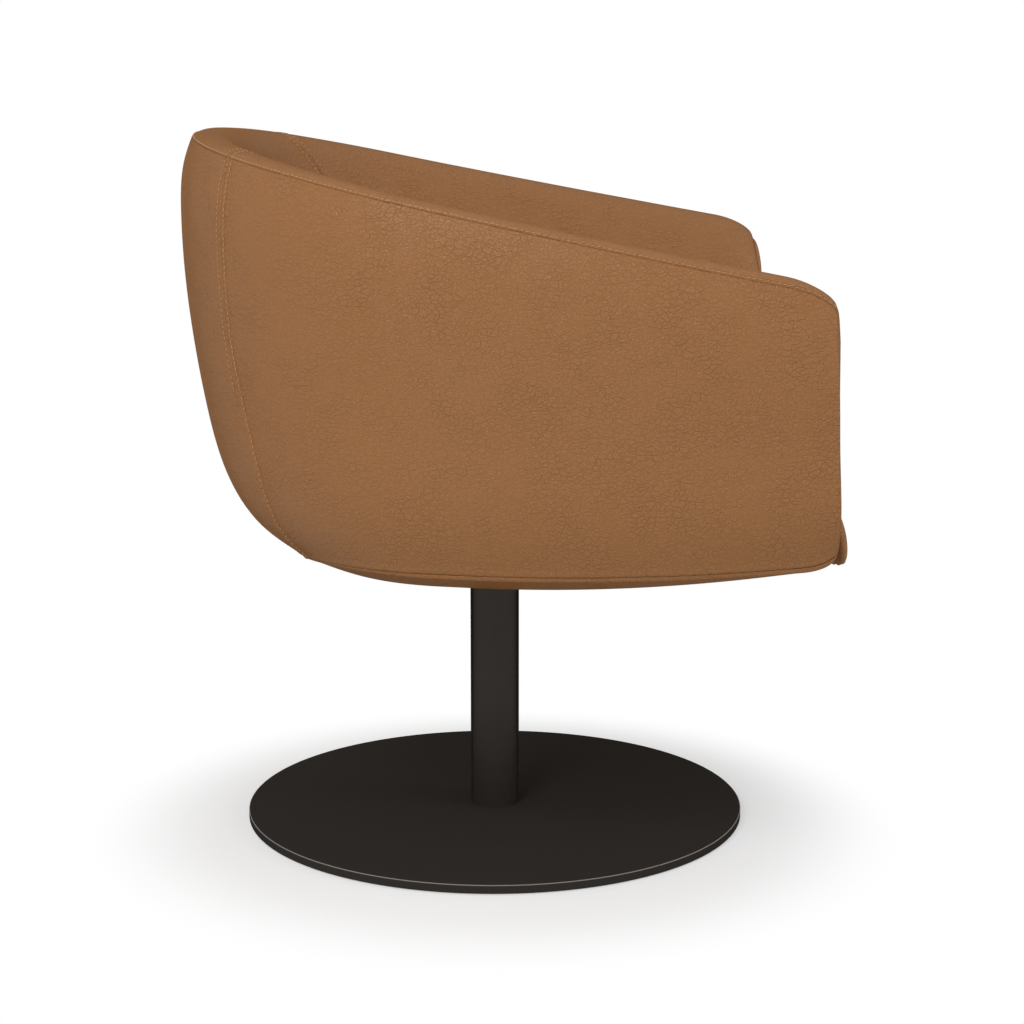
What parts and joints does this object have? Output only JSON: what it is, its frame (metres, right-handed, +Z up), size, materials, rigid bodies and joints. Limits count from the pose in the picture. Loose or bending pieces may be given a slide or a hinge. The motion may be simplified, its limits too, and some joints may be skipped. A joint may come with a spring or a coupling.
{
  "type": "swivel chair",
  "caption": "Low tub swivel chair: wrap-around back and arms in stitched leather, cushioned seat, round column on a flat steel disc.",
  "frame": {"origin": "on the column's axis at the floor, in the plane of the floor ring's underside", "axes": "+Z up along the column; the sitter faces -Y; +X is the sitter's left"},
  "size_m": [0.778, 0.651, 0.7156],
  "materials": {
    "tan_leather": "satin",
    "powder_coated_steel": "satin",
    "plain_steel": "satin",
    "bearing_plastic": "matte",
    "black_rubber": "matte",
    "plywood": "matte",
    "beech": "matte",
    "foam": "matte",
    "lining_cloth": "matte"
  },
  "bodies": {
    "base": {"base_disc": "powder_coated_steel", "floor_ring": "black_rubber", "column_tube": "powder_coated_steel", "foot_plug": "plain_steel", "foot_screws": "plain_steel", "lower_bush": "bearing_plastic", "upper_bush": "bearing_plastic", "thrust_washer": "bearing_plastic"},
    "seat": {"spindle": "plain_steel", "stop_washer": "plain_steel", "stop_screw": "plain_steel", "seat_plate": "plain_steel", "plate_washers": "plain_steel", "plate_screws": "plain_steel", "tee_nuts": "plain_steel", "frame_screws": "plain_steel", "seat_pan": "plywood", "back_frame": "plywood", "left_arm_frame": "plywood", "right_arm_frame": "plywood", "front_rail": "beech", "back_foam": "foam", "left_arm_foam": "foam", "right_arm_foam": "foam", "seat_foam": "foam", "outside_back_cover": "tan_leather", "outside_left_cover": "tan_leather", "outside_right_cover": "tan_leather", "inside_back_cover": "tan_leather", "inside_left_cover": "tan_leather", "inside_right_cover": "tan_leather", "left_arm_facing": "tan_leather", "right_arm_facing": "tan_leather", "under_border": "tan_leather", "seat_cover": "tan_leather", "underside_lining": "lining_cloth"}
  },
  "joints": [
    {"name": "seat_swivel", "type": "hinge", "parent": "base", "child": "seat", "pos_m": [0, 0, 0.31], "axis": [0, 0, 1], "continuous": true}
  ]
}
